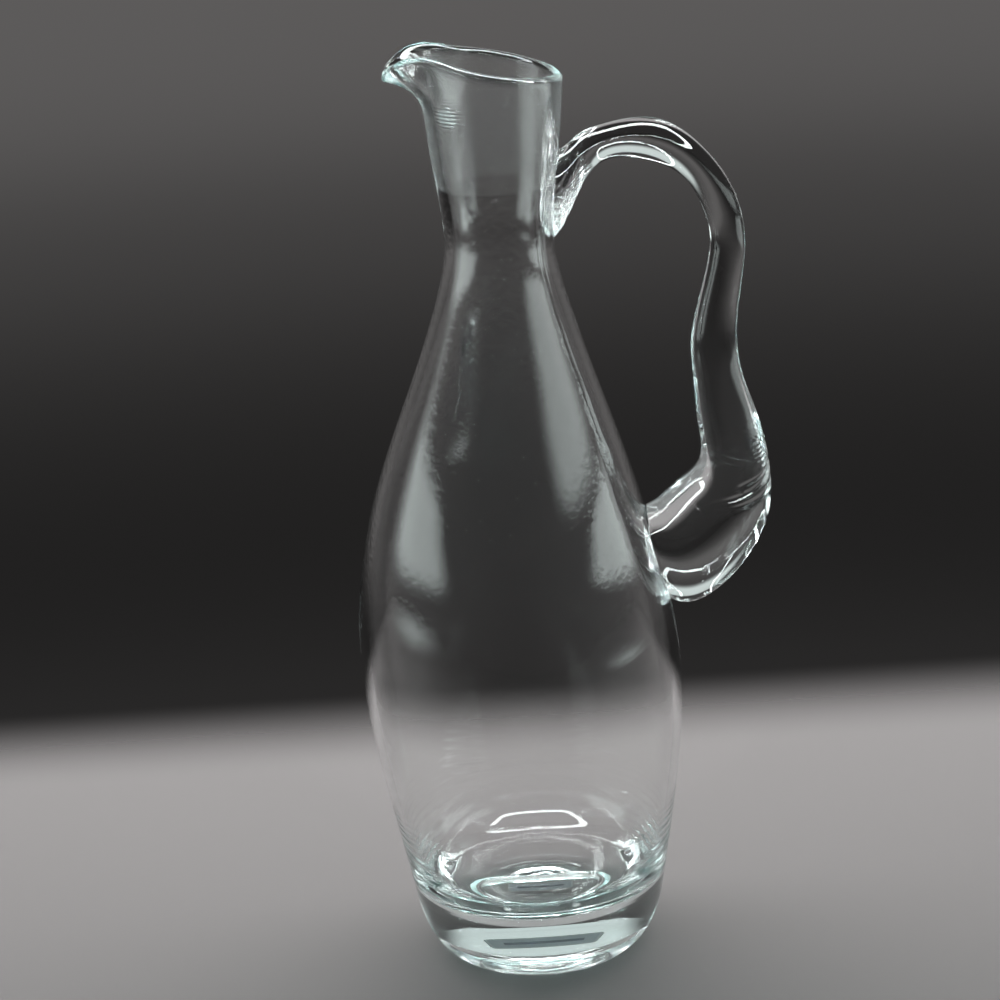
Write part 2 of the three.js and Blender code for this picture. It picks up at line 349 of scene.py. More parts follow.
def chill_ripples(points):
    """How far each ring moves out and up: a wandering sine of the way up the wall, fading at both ends."""
    way = np.gradient(points, axis=0)
    way /= np.linalg.norm(way, axis=1, keepdims=True)
    square_out = np.stack([way[:, 1], -way[:, 0]], axis=-1)
    run = np.concatenate([[0], np.cumsum(np.linalg.norm(np.diff(points, axis=0), axis=1))])
    stages = [RIPPLE_LOW, RIPPLE_FULL, RIPPLE_EASE, RIPPLE_HIGH]
    fade = np.interp(points[:, 1], stages, [0, 1, 1, 0])
    wave = np.sin(2 * np.pi * run / RIPPLE_PITCH + RIPPLE_WANDER * np.sin(run / WANDER_LENGTH))
    return square_out * (RIPPLE_DEPTH * fade * wave)[:, None]


wall_heights = np.concatenate([
    np.linspace(FOOT_HEIGHT, RIPPLE_HIGH, RIPPLED_STEPS)[:-1],
    np.linspace(RIPPLE_HIGH, LIP_HEIGHT, PLAIN_STEPS),
])
outer_wall = np.stack([outer_radius(wall_heights), wall_heights], axis=-1)
profile = np.concatenate([below_wall, outer_wall, lip, inner_wall])
ripples = np.zeros_like(profile)
ripples[len(below_wall):len(below_wall) + len(outer_wall)] = chill_ripples(outer_wall)
print("profile of", len(profile), "rings, ripples of", np.abs(ripples).max().round(3), "mm")

# %% [markdown]
# ## Uneven floor
# The floor of a blown vessel is never flat, and light that comes up through the thick base breaks into
# streaks on it. Noise would do, but three crossing sines are smooth at every scale, which thick glass needs,
# because it magnifies each small kink.

# %% Uneven floor
WAVE_DEPTH, WAVE_LENGTH, WAVE_REACH, WAVE_FADE = 0.03, 14.0, 29, 10
# Turns along and across per wave length, and the start of each wave
LONG_WAVE, CROSS_WAVE, SHORT_WAVE = (1, 0.6, 0), (-0.3, 0.8, 1), (1.7, -1.1, 2)
SHORT_SHARE = 0.5


def floor_waves(points):
    """Rise of the floor: two crossing sines multiplied, plus a shorter one, fading out to the corner."""
    x, y = 2 * np.pi * points[:, 0] / WAVE_LENGTH, 2 * np.pi * points[:, 1] / WAVE_LENGTH
    waves = (LONG_WAVE, CROSS_WAVE, SHORT_WAVE)
    long_sine, cross_sine, short_sine = [np.sin(a * x + b * y + start) for a, b, start in waves]
    away = np.hypot(points[:, 0] - AXIS_X / MM, points[:, 1])
    fade = np.clip((WAVE_REACH - away) / WAVE_FADE, 0, 1) * (points[:, 2] < CORNER_TOP)
    return WAVE_DEPTH * fade * (long_sine * cross_sine + SHORT_SHARE * short_sine)


print("floor waves of", WAVE_DEPTH, "mm every", WAVE_LENGTH, "mm")

# %% [markdown]
# ## Glass body
# The profile is turned round the axis and shaped by hand, all points at once. The two ends of the profile lie
# on the axis and become poles. Points of the bore carry a mark, because the bore is finished in another way
# than the outside.

# %% Glass body
BODY_SIDES = 192
SEAM_POWER = 4

turn = np.linspace(0, 2 * np.pi, BODY_SIDES, endpoint=False)
turn_grid = np.broadcast_to(turn, (len(profile), BODY_SIDES))
beside_seam = np.cos(turn) ** SEAM_POWER
radius_grid = profile[:, :1] + ripples[:, :1] * beside_seam
height_grid = profile[:, 1:] + ripples[:, 1:] * beside_seam
body_points = shape_by_hand(radius_grid, height_grid, turn_grid).reshape(-1, 3)
bore_start = (len(profile) - len(inner_wall)) * BODY_SIDES
body_points[bore_start:, 2] += floor_waves(body_points[bore_start:])
middle_x = AXIS_X / MM + lean(0)
body_poles = np.array([[middle_x, 0, RECESS_DEPTH], [middle_x, 0, BASE_THICKNESS]])
body = piece_from(
    "glass_body_blown", np.concatenate([body_points, body_poles]), ring_faces(len(profile), BODY_SIDES),
    closed_by_poles(len(profile), BODY_SIDES, True),
)
in_bore = np.zeros(len(body_points) + len(body_poles))
in_bore[bore_start:len(body_points)] = 1
in_bore[-1] = 1
mark_points(body, "bore", in_bore)

# %% [markdown]
# ## Sections of the handle
# The handle began as a soft rod. Its root was stuck to the belly as a thick swell, and the rest was drawn up,
# looped over and pressed against the neck. A curve with a round profile would give a rod of one thickness.
# Here two edges carry the shape, an outer and an inner one, and each section also has a width.

# %% Sections of the handle
UPPER_JOINT, LOWER_JOINT, JOINT_GAP = 262, 140, 0.3
ARCH_REACH, SWELL_REACH, ROD_WIDTH, SWELL_WIDTH = 59.5, 38.4, 12.4, 25.6
# Outer edge across and up, inner edge across and up, and width, as shares of the sizes above
ARCH_SECTIONS = np.array([[-0.084, 0.082, -0.084, -0.119, 1.129],
                          [0.025, 0.093, -0.02, -0.134, 1.21],
                          [0.134, 0.131, 0.092, -0.049, 1.065],
                          [0.255, 0.152, 0.227, 0.048, 0.968],
                          [0.466, 0.166, 0.437, 0.062, 1],
                          [0.664, 0.136, 0.605, 0.031, 1.016],
                          [0.845, 0.048, 0.718, -0.02, 0.952],
                          [0.961, -0.053, 0.783, -0.089, 0.903],
                          [1, -0.179, 0.812, -0.172, 0.903]])
SWELL_SECTIONS = np.array([[0.803, 0.687, 0.481, 0.701, 0.484],
                           [0.761, 0.551, 0.374, 0.566, 0.531],
                           [0.813, 0.439, 0.377, 0.455, 0.586],
                           [0.927, 0.325, 0.395, 0.34, 0.664],
                           [1, 0.18, 0.405, 0.234, 0.766],
                           [0.935, 0.033, 0.247, 0.179, 0.883],
                           [0.584, -0.121, 0.132, 0.15, 0.977],
                           [0.208, -0.173, 0.065, 0.131, 1],
                           [-0.026, -0.131, 0, 0.115, 0.969],
                           [-0.234, -0.098, -0.234, 0.082, 0.898]])


def placed(shares, height, reach, width):
    """Sections in millimetres: the joint on the wall plus shares of reach, of rise and of half the width."""
    joint = np.array([level_radius(float(height)) + lean(height), height])
    rise = UPPER_JOINT - LOWER_JOINT
    return shares * [reach, rise, reach, rise, width / 2] + np.concatenate([joint, joint, [0]])


sections = np.concatenate([
    placed(ARCH_SECTIONS, UPPER_JOINT, ARCH_REACH, ROD_WIDTH),
    placed(SWELL_SECTIONS, LOWER_JOINT, SWELL_REACH, SWELL_WIDTH),
])
print("handle of", len(sections), "sections, out to", sections[:, 0].max().round(1), "mm from the axis")

# %% [markdown]
# ## Smooth run of the handle
# Between the sections the edges and the width follow the smoothest cubic curves through them. Blender's own
# curves could do this, but the marks of the tools below need the surface as a formula.

# %% Smooth run of the handle
centres = (sections[:, 0:2] + sections[:, 2:4]) / 2
knots = np.concatenate([[0], np.cumsum(np.sqrt(np.linalg.norm(np.diff(centres, axis=0), axis=1)))])
knots /= knots[-1]


def spline_bends(values):
    """Second derivatives at the knots of the smoothest cubic curve through the values, with straight ends."""
    step = np.diff(knots)
    size = len(knots)
    rows = np.eye(size)
    inner = np.arange(1, size - 1)
    rows[inner, inner - 1] = step[:-1]
    rows[inner, inner] = 2 * (step[:-1] + step[1:])
    rows[inner, inner + 1] = step[1:]
    slopes = np.diff(values, axis=0) / step[:, None]
    right = np.zeros_like(values)
    right[1:-1] = 6 * np.diff(slopes, axis=0)
    return np.linalg.solve(rows, right)


section_bends = spline_bends(sections)


def section_at(along):
    """The section at each share of the handle's length, by the cubic curve between its two neighbours."""
    i = np.clip(np.searchsorted(knots, along) - 1, 0, len(knots) - 2)
    step = (knots[i + 1] - knots[i])[..., None]
    a = (knots[i + 1] - along)[..., None] / step
    b = 1 - a
    bend = ((a ** 3 - a) * section_bends[i] + (b ** 3 - b) * section_bends[i + 1]) * step ** 2 / 6
    return a * sections[i] + b * sections[i + 1] + bend


def section_number(along):
    """The share of the handle's length counted in sections."""
    return np.interp(along, knots, np.arange(len(knots)))


print("half way along, the handle is", (2 * section_at(np.array(0.5))[4]).round(1), "mm wide")

# %% [markdown]
# ## Marks of the tools
# Twisting the soft rod left cords, fine grooves that wind up out of the swell. The outer edge was pebbled
# where it touched a tool, and the folded tail at the neck was crimped into pleats. The marks are under a
# millimetre deep, but light bends on them, so they are part of the surface and not painted on.

# %% Cords and pebbles
# Each cord: its depth, and the angle round the rod at a section, with the angle's growth and bend up the rod
CORDS = ((0.8, 4.25, 14.3, 0.5, 0.5), (0.7, 4.85, 13.35, 1.0, 2.1), (0.55, 4.6, 14.08, 1.0, 0.6))
CORD_WIDTH, CORD_ROOT, CORD_MIDDLE, CORD_SPREAD = 0.11, 0.1, 13.4, 0.8
PEBBLE_DEPTH, PEBBLE_MIDDLE, PEBBLE_SPREAD, PEBBLE_SIDE = 0.3, 12.5, 0.45, 0.8
# Pebbles per section and round the rod, in radians, and the size and pace at which their rows sway
PEBBLES_ALONG, PEBBLES_ROUND = 44, 18
SWAY_ALONG, SWAY_ROUND = (2, 3), (5, 7)


def cord_grooves(section, around):
    """Grooves with a bell-shaped cut whose angle round the rod grows with the way up, kept to the swell."""
    front = np.mod(around, 2 * np.pi)
    grooves = 0
    for depth, angle, start, growth, bend in CORDS:
        up = np.maximum(start - section, 0)
        centre = angle + growth * up + bend * up ** 2
        grooves = grooves - depth * (section < start + CORD_ROOT) * bell(front - centre, CORD_WIDTH)
    return bell(section - CORD_MIDDLE, CORD_SPREAD) * grooves


def pebbled_edge(section, around):
    """A product of two swaying sines, one along and one round, kept to a bell on the outer edge."""
    rows = np.sin(PEBBLES_ALONG * section + SWAY_ALONG[0] * np.sin(SWAY_ALONG[1] * around))
    columns = np.sin(PEBBLES_ROUND * around + SWAY_ROUND[0] * np.sin(SWAY_ROUND[1] * section))
    outer_side = bell(np.arctan2(np.sin(around), np.cos(around)), PEBBLE_SIDE)
    near = bell(section - PEBBLE_MIDDLE, PEBBLE_SPREAD)
    return PEBBLE_DEPTH * near * outer_side * (rows * columns - 1)


print(len(CORDS), "cords, the deepest", max(cord[0] for cord in CORDS), "mm")

# %% Crimped tail
CRIMP_DEPTH, CRIMP_END, CRIMP_REACH = 0.6, 2.5, 1.75
CRIMP_END_FADE, CRIMP_SIDE_FADE = 0.2, 0.3
PLEATS_ROUND, DIMPLE_SHARE, DIMPLES_ALONG = 13, 0.4, 14


def crimped_tail(section, around):
    """Where the tail was crimped: up to one section, and up to an angle on both sides of the inner edge."""
    from_inner = np.abs(np.mod(around, 2 * np.pi) - np.pi)
    before_end = np.clip((CRIMP_END - section) / CRIMP_END_FADE, 0, 1)
    return before_end * np.clip((CRIMP_REACH - from_inner) / CRIMP_SIDE_FADE, 0, 1)


def crimp_pleats(section, around):
    """Folded sines round the tail, dimpled by a sine along it."""
    folds = np.abs(np.sin(PLEATS_ROUND * around + section))
    pleats = folds * (1 + DIMPLE_SHARE * np.sin(DIMPLES_ALONG * section)) - 1
    return CRIMP_DEPTH * crimped_tail(section, around) * pleats


def handle_marks(section, around):
    """How far the tools pushed the surface out: the sum of cords, pebbles and pleats."""
    return cord_grooves(section, around) + pebbled_edge(section, around) + crimp_pleats(section, around)


print("pleats of", CRIMP_DEPTH, "mm up to section", CRIMP_END)

# %% [markdown]
# ## Joints of the handle
# On the real object the handle is fused to the body. Here the two stay apart by a hair, so that each is a
# closed piece. A boolean cut would leave ragged triangles at the joint, which shine. So each lengthwise line
# of the handle starts and ends exactly where it meets the wall, found by halving a stretch again and again.

# %% Where the handle meets the wall
HANDLE_SIDES, HALVINGS = 144, 40
# Sections near the two ends that surely lie clear of the wall
CLEAR_AFTER_NECK, CLEAR_BEFORE_BELLY = 3, -5


def handle_point(along, around):
    """A point of the handle: an oval between the outer edge (around = 0) and the inner edge (around = pi).

    The marks of the tools are added square to the oval."""
    section = section_at(along)
    middle = (section[..., 0:2] + section[..., 2:4]) / 2
    reach = (section[..., 0:2] - section[..., 2:4]) / 2
    half_width = section[..., 4]
    thick = np.linalg.norm(reach, axis=-1)
    square_in, square_y = np.cos(around) / thick, np.sin(around) / half_width
    push = handle_marks(section_number(along), around) / np.hypot(square_in, square_y)
    edge = middle + reach * (np.cos(around) + push * square_in / thick)[..., None]
    return np.stack([edge[..., 0], half_width * np.sin(around) + push * square_y, edge[..., 1]], axis=-1)


def clearance(point):
    """How far a point lies outside the wall of the body, measured level with it, less the gap."""
    height = point[..., 2]
    away = np.hypot(point[..., 0] - lean(height), point[..., 1])
    return away - outer_radius(height) - JOINT_GAP


def wall_crossing(inside_end, outside_end, around):
    """Where each lengthwise line meets the wall, by halving the stretch from an end inside to one outside."""
    low, high = np.full(len(around), inside_end), np.full(len(around), outside_end)
    for _ in range(HALVINGS):
        half = (low + high) / 2
        outside_now = clearance(handle_point(half, around)) > 0
        high = np.where(outside_now, half, high)
        low = np.where(outside_now, low, half)
    return high


around = np.linspace(0, 2 * np.pi, HANDLE_SIDES, endpoint=False)
starts = wall_crossing(0.0, knots[CLEAR_AFTER_NECK], around)
ends = wall_crossing(1.0, knots[CLEAR_BEFORE_BELLY], around)
print("handle leaves the wall at shares", starts.min().round(3), "to", starts.max().round(3))

# %% [markdown]
# ## Applied handle
# The lines between the two joints are divided evenly and joined into rings. At each joint a cap of shrinking
# rings follows the wall of the body, as the pressed glass does.

# %% Applied handle
HANDLE_RINGS, CAP_RINGS = 560, 10

travel = np.linspace(0, 1, HANDLE_RINGS)[:, None]
along_grid = starts + (ends - starts) * travel
around_grid = np.broadcast_to(around, along_grid.shape)
rod = handle_point(along_grid, around_grid)


def joint_cap(rim):
    """Rings that shrink from the joint's outline to its middle and follow the wall at the joint's gap."""
    share = np.linspace(1, 0, CAP_RINGS + 1)[1:, None, None]
    flat = rim.mean(axis=0) + (rim - rim.mean(axis=0)) * share
    height = flat[..., 2]
    turn_there = np.arctan2(flat[..., 1], flat[..., 0] - lean(height))
    reach = outer_radius(height) + JOINT_GAP
    return np.stack([lean(height) + reach * np.cos(turn_there), reach * np.sin(turn_there), height], axis=-1)


upper_cap, lower_cap = joint_cap(rod[0]), joint_cap(rod[-1])
rings = np.concatenate([upper_cap[-2::-1], rod, lower_cap[:-1]])
handle_points = np.concatenate([rings.reshape(-1, 3), upper_cap[-1, :1], lower_cap[-1, :1]])
handle_points[:, 0] += AXIS_X / MM
handle = piece_from(
    "applied_handle_drawn", handle_points, ring_faces(len(rings), HANDLE_SIDES)[:, ::-1],
    closed_by_poles(len(rings), HANDLE_SIDES, False),
)

# %% Crimp mark of the handle
rod_start = CAP_RINGS - 1
crimp = np.zeros((len(rings), HANDLE_SIDES))
crimp[rod_start:rod_start + HANDLE_RINGS] = crimped_tail(section_number(along_grid), around_grid)
crimp[:rod_start] = crimp[rod_start]
mark_points(handle, "crimp", np.concatenate([crimp.ravel(), [0, 0]]))
print("crimped points:", int((crimp > 0).sum()), "of", crimp.size)

# %% [markdown]
# ## Label
# A small clear film with rounded corners is stuck in the hollow under the base, where it is seen through the
# glass, once through the floor and once through the foot. A flat card would do for the eye, but glue leaves
# no air between film and glass. So the film is a thin closed piece whose upper face lies a hair inside the
# glass.

# %% Label
LABEL_LENGTH, LABEL_WIDTH, LABEL_THICKNESS, LABEL_CORNER = 24, 12, 0.25, 1.5
FILM_BOND = 0.03
FILM_CORNER_STEPS = 7

quarter = np.repeat(np.arange(4), FILM_CORNER_STEPS)
film_turn = np.tile(np.linspace(0, np.pi / 2, FILM_CORNER_STEPS), 4) + quarter * np.pi / 2
sign_x, sign_y = np.array([1, -1, -1, 1])[quarter], np.array([1, 1, -1, -1])[quarter]
film_x = AXIS_X / MM + sign_x * (LABEL_LENGTH / 2 - LABEL_CORNER) + LABEL_CORNER * np.cos(film_turn)
film_y = sign_y * (LABEL_WIDTH / 2 - LABEL_CORNER) + LABEL_CORNER * np.sin(film_turn)
film_sides = len(film_turn)
film_levels = (RECESS_DEPTH - LABEL_THICKNESS, RECESS_DEPTH + FILM_BOND)
film_rings = [np.column_stack([film_x, film_y, np.full(film_sides, level)]) for level in film_levels]
film_poles = [[(AXIS_X / MM, 0, level)] for level in film_levels]
label = piece_from(
    "base_label_film", np.concatenate(film_rings + film_poles), ring_faces(2, film_sides),
    closed_by_poles(2, film_sides, True),
)
label.data.polygons.foreach_set("use_smooth", np.zeros(len(label.data.polygons), bool))

# %% [markdown]
# ## Clear glass
# The glass is clear, and faintly aqua where it is thick. Gloss over a see-through coat would look the same at
# every thickness, so the shader bends light and an absorbing volume tints it by the way it travels inside.
# Light bent by glass is slow to trace, so the rays that look for shadows pass straight through, a little
# dimmed.


# %% Node helpers
def wire(material, source, target):
    """A link from an output to an input."""
    material.node_tree.links.new(source, target)


def add_node(material, kind, numbers=(), **settings):
    """A new shader node of a kind, with settings such as its operation, and numbers for its inputs."""
    made = material.node_tree.nodes.new("ShaderNode" + kind)
    for name, value in settings.items():
        setattr(made, name, value)
    for place, value in dict(numbers).items():
        made.inputs[place].default_value = value
    return made


def combine(material, operation, first, second=0):
    """One number from two, each an output or a plain number, or from one, by the operation named."""
    made = add_node(material, "Math", operation=operation)
    for place, source in enumerate((first, second)):
        if isinstance(source, (int, float)):
            made.inputs[place].default_value = source
        else:
            wire(material, source, made.inputs[place])
    return made.outputs["Value"]


def product(material, first, *others):
    """All the given numbers multiplied."""
    for other in others:
        first = combine(material, "MULTIPLY", first, other)
    return first


def risen(material, value, start, full, least=0.0):
    """Goes smoothly from a least share to one while a value goes from a start to a full mark."""
    ramp = add_node(material, "MapRange", {"From Min": start, "From Max": full, "To Min": least},
                    interpolation_type="SMOOTHSTEP")
    wire(material, value, ramp.inputs["Value"])
    return ramp.outputs["Result"]


def split_place(material, output="Object"):
    """Place on a piece, or heading into the air, as a whole and as its three parts."""
    place = add_node(material, "TexCoord").outputs[output]
    parts = add_node(material, "SeparateXYZ")
    wire(material, place, parts.inputs["Vector"])
    return place, parts.outputs["X"], parts.outputs["Y"], parts.outputs["Z"]


print("finishes that came with the solids:", len(bpy.data.materials))

# %% Clear glass
GLASS_IOR = 1.5
TINT, TINT_DENSITY = (0.72, 0.92, 0.91), 4.5
SHADOW_TINT = (0.68, 0.72, 0.71)


def principled(name, settings):
    """A material with Blender's standard shader and plain values for some of its inputs."""
    material = bpy.data.materials.new(name)
    material.use_nodes = True
    shader = material.node_tree.nodes["Principled BSDF"]
    for place, value in settings.items():
        shader.inputs[place].default_value = value
    return material, shader


def glass(name):
    """Refracting glass with a tint by depth, through which the lamps' light falls to the floor."""
    settings = {"Base Color": (1, 1, 1, 1), "Roughness": 0, "IOR": GLASS_IOR, "Transmission Weight": 1}
    material, shader = principled(name, settings)
    output = material.node_tree.nodes["Material Output"]
    path = add_node(material, "LightPath")
    clear = add_node(material, "BsdfTransparent", {"Color": (*SHADOW_TINT, 1)})
    let_through = add_node(material, "MixShader")
    wire(material, path.outputs["Is Shadow Ray"], let_through.inputs["Fac"])
    wire(material, shader.outputs["BSDF"], let_through.inputs[1])
    wire(material, clear.outputs["BSDF"], let_through.inputs[2])
    wire(material, let_through.outputs["Shader"], output.inputs["Surface"])
    tint = add_node(material, "VolumeAbsorption", {"Color": (*TINT, 1), "Density": TINT_DENSITY})
    wire(material, tint.outputs["Volume"], output.inputs["Volume"])
    return material, shader


def bumped(material, shader, height, depth):
    """Tilts the shading by an output that stands for height, where one means the given depth in metres."""
    bump = add_node(material, "Bump", {"Strength": 1, "Distance": depth})
    wire(material, height, bump.inputs["Height"])
    wire(material, bump.outputs["Normal"], shader.inputs["Normal"])


body_glass, body_shader = glass("clear_blown_glass")
handle_glass, handle_shader = glass("clear_drawn_glass")
body.data.materials.append(body_glass)
handle.data.materials.append(handle_glass)
print(body_glass.name, "and", handle_glass.name, "bend light by", GLASS_IOR)

# %% [markdown]
# ## Blown and ground surface
# Blown glass is never quite even: the bore keeps a soft orange peel, which makes the edges of reflections
# sparkle. The inside of the neck was ground as a seat for a stopper. It is hazy, with fine level scratches
# and one patch of chatter where the tool jumped. All of this is far finer than the mesh, so bump and
# roughness carry it, and the "bore" attribute keeps it off the outside.

# %% Masks on the body
PEEL_START, PEEL_FULL, PEEL_LEAST = 100 * MM, 150 * MM, 0.04
GROUND_START, GROUND_FULL = 263.2 * MM, 264.2 * MM

place, _, _, up = split_place(body_glass)
bore_mark = add_node(body_glass, "Attribute", attribute_name="bore").outputs["Fac"]
peeled = product(body_glass, bore_mark, risen(body_glass, up, PEEL_START, PEEL_FULL, PEEL_LEAST))
ground = product(body_glass, bore_mark, risen(body_glass, up, GROUND_START, GROUND_FULL))
print("ground seat from", GROUND_START / MM, "mm up")

# %% Peel, scratches and chatter
PEEL_SCALE, PEEL_DEPTH, PEEL_DETAIL = 420, 0.04 * MM, 1
SCRATCH_SCALE, SCRATCH_SHARE, SCRATCH_DETAIL = (60, 60, 2200), 0.8, 2
CHATTER_PLACE = (-27.8, -13.1, 288.9)
CHATTER_REACH, CHATTER_PITCH, CHATTER_SHARE = 5.0, 1.2, 2.4

peel = add_node(body_glass, "TexNoise", {"Scale": PEEL_SCALE, "Detail": PEEL_DETAIL})
wire(body_glass, place, peel.inputs["Vector"])
stretched = add_node(body_glass, "Mapping", {"Scale": SCRATCH_SCALE})
wire(body_glass, place, stretched.inputs["Vector"])
scratches = add_node(body_glass, "TexNoise", {"Scale": 1, "Detail": SCRATCH_DETAIL})
wire(body_glass, stretched.outputs["Vector"], scratches.inputs["Vector"])
from_patch = add_node(body_glass, "VectorMath", {1: [v * MM for v in CHATTER_PLACE]}, operation="DISTANCE")
wire(body_glass, place, from_patch.inputs[0])
patch = risen(body_glass, from_patch.outputs["Value"], CHATTER_REACH * MM, CHATTER_REACH / 2 * MM)
chatter = combine(body_glass, "SINE", product(body_glass, up, 2 * math.pi / (CHATTER_PITCH * MM)))
print("scratches", SCRATCH_SCALE, "per m, chatter every", CHATTER_PITCH, "mm")

# %% Blown and ground surface
GROUND_ROUGHNESS = 0.17

body_height = product(body_glass, peeled, peel.outputs["Fac"])
for mark in (
    product(body_glass, ground, product(body_glass, scratches.outputs["Fac"], SCRATCH_SHARE)),
    product(body_glass, ground, product(body_glass, chatter, patch, CHATTER_SHARE)),
):
    body_height = combine(body_glass, "ADD", body_height, mark)
bumped(body_glass, body_shader, body_height, PEEL_DEPTH)
wire(body_glass, product(body_glass, ground, GROUND_ROUGHNESS), body_shader.inputs["Roughness"])
print("blown surface with", len(body_glass.node_tree.nodes), "nodes")

# %% [markdown]
# ## Drawn surface
# The handle was drawn in the air and is smoother than the bore, apart from its tail, where a cool tool
# pressed pleats into it and left them slightly matt. The mesh has the pleats, and the "crimp" attribute
# carries the matt skin.

# %% Drawn surface
DRAWN_SCALE, DRAWN_DEPTH, DRAWN_DETAIL = 220, 0.02 * MM, 1
CRIMP_ROUGHNESS = 0.15

drawn = add_node(handle_glass, "TexNoise", {"Scale": DRAWN_SCALE, "Detail": DRAWN_DETAIL})
wire(handle_glass, add_node(handle_glass, "TexCoord").outputs["Object"], drawn.inputs["Vector"])
bumped(handle_glass, handle_shader, drawn.outputs["Fac"], DRAWN_DEPTH)
crimp_mark = add_node(handle_glass, "Attribute", attribute_name="crimp").outputs["Fac"]
wire(handle_glass, product(handle_glass, crimp_mark, CRIMP_ROUGHNESS), handle_shader.inputs["Roughness"])
print("drawn surface with", len(handle_glass.node_tree.nodes), "nodes")

# %% [markdown]
# ## Printed film
# The label is a clear film with a pale border and one plain dark stripe. A picture could carry the print,
# but here the distance from the film's middle along each side is enough: beyond one limit it is border,
# within another stripe.

# %% Places on the film
FILM_ROUGHNESS, FILM_ALPHA = 0.4, 0.85

film, film_shader = principled("printed_film", {"Roughness": FILM_ROUGHNESS, "Alpha": FILM_ALPHA})
label.data.materials.append(film)
_, film_along, film_across, _ = split_place(film)
past_middle = combine(film, "ABSOLUTE", combine(film, "SUBTRACT", film_along, AXIS_X))
past_line = combine(film, "ABSOLUTE", film_across)


def outside_of(length, width):
    """One outside a rectangle round the film's middle, and nought inside it."""
    past_end = combine(film, "GREATER_THAN", past_middle, length / 2 * MM)
    past_side = combine(film, "GREATER_THAN", past_line, width / 2 * MM)
    return combine(film, "MAXIMUM", past_end, past_side)


print("film of", LABEL_LENGTH, "x", LABEL_WIDTH, "mm")

# %% Inks of the film
BORDER, STRIPE_LENGTH, STRIPE_WIDTH = 0.7, 17, 2.8
STRIPE_INK, FILM_COLOUR, BORDER_INK = (0.03, 0.05, 0.09), (0.62, 0.68, 0.74), (0.85, 0.9, 0.92)


def two_inks(share, first, second):
    """The first colour where a share is nought and the second where it is one."""
    ink = add_node(film, "Mix", {"B": (*second, 1)}, data_type="RGBA")
    wire(film, share, ink.inputs["Factor"])
    if isinstance(first, tuple):
        ink.inputs["A"].default_value = (*first, 1)
    else:
        wire(film, first, ink.inputs["A"])
    return ink.outputs["Result"]


striped = two_inks(outside_of(STRIPE_LENGTH, STRIPE_WIDTH), STRIPE_INK, FILM_COLOUR)
edged = two_inks(outside_of(LABEL_LENGTH - 2 * BORDER, LABEL_WIDTH - 2 * BORDER), striped, BORDER_INK)
wire(film, edged, film_shader.inputs["Base Color"])
print("stripe of", STRIPE_LENGTH, "x", STRIPE_WIDTH, "mm")

# %% [markdown]
# ## Pieces and solids
# Each finished piece stands for one imported solid, which is hidden, and moves with the one body
# there is.

# %% Pieces and solids
for piece, node, slot in (
    (body, "glass_body", "body_glass"),
    (handle, "applied_handle", "handle_glass"),
    (label, "base_label", "label_film"),
):
    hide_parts(node)
    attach(piece, "root")
    print(piece.name, "stands for", node)

# %% [markdown]
# ## Floor
# The decanter stands on a plain pale table. A plane without end would be simpler, but clear glass takes its
# look from what lies round it: a wide floor mirrored in the front of the wall veils the neck and the handle.
# So the table fades out behind the foot and, over a longer way, in front and at its ends. The base is seen
# against the pale floor and the rest against the dim air of the studio.

# %% Floor
TABLE_BACK, TABLE_FRONT, TABLE_END, TABLE_DROP = 235, 900, 1470, 0.2

table_corners = np.array([[-TABLE_END, -TABLE_FRONT], [TABLE_END, -TABLE_FRONT],
                          [TABLE_END, TABLE_BACK], [-TABLE_END, TABLE_BACK]], float)
table_points = np.column_stack([table_corners, np.full(4, -TABLE_DROP)]) + [AXIS_X / MM, 0, 0]
table = piece_from("pale_table", table_points, np.array([[0, 1, 2, 3]]), np.empty((0, 3), int))

# %% Paint of the table
BACK_FADE, FRONT_FADE, END_FADE = 80, 750, 600
TABLE_PAINT, TABLE_ROUGHNESS = (0.38, 0.36, 0.36), 0.6

paint_values = {"Base Color": (*TABLE_PAINT, 1), "Roughness": TABLE_ROUGHNESS}
paint, paint_shader = principled("pale_paint", paint_values)
table.data.materials.append(paint)
_, table_along, table_across, _ = split_place(paint)
from_axis = combine(paint, "ABSOLUTE", combine(paint, "SUBTRACT", table_along, AXIS_X))
at_back = risen(paint, table_across, TABLE_BACK * MM, (TABLE_BACK - BACK_FADE) * MM)
at_front = risen(paint, table_across, -TABLE_FRONT * MM, (FRONT_FADE - TABLE_FRONT) * MM)
at_ends = risen(paint, from_axis, TABLE_END * MM, (TABLE_END - END_FADE) * MM)
wire(paint, product(paint, at_back, at_front, at_ends), paint_shader.inputs["Alpha"])
print("table of", 2 * TABLE_END, "x", TABLE_BACK + TABLE_FRONT, "mm")

# %% [markdown]
# ## Light
# Clear glass shows little but its lamps, so they are few and soft. A long softbox above and behind lights the
# floor and leaves the glass alone. An oval ring of light above the front draws thin lines along the lip and
# the arch of the handle. Bent cards at the sides, fading to their edges, lie as long soft streaks on the wall
# and the neck, and one far behind shows as the pale band in the foot. Ring and cards glow for glass and gloss
# alone, so they add nothing to the light on the floor.

# %% Softbox
SOFTBOX_SIZE, SOFTBOX_PLACE, SOFTBOX_WATTS = (1.8, 0.35), (AXIS_X, 0.26, 0.45), 5.8

softbox_data = bpy.data.lights.new("softbox_overhead", "AREA")
softbox_data.shape = "RECTANGLE"
softbox_data.size, softbox_data.size_y = SOFTBOX_SIZE
softbox_data.energy = SOFTBOX_WATTS
softbox = bpy.data.objects.new("softbox_overhead", softbox_data)
softbox.location = SOFTBOX_PLACE
softbox.visible_camera = softbox.visible_glossy = softbox.visible_transmission = False
scene.collection.objects.link(softbox)
print("softbox of", SOFTBOX_WATTS, "W at", SOFTBOX_PLACE[2], "m")

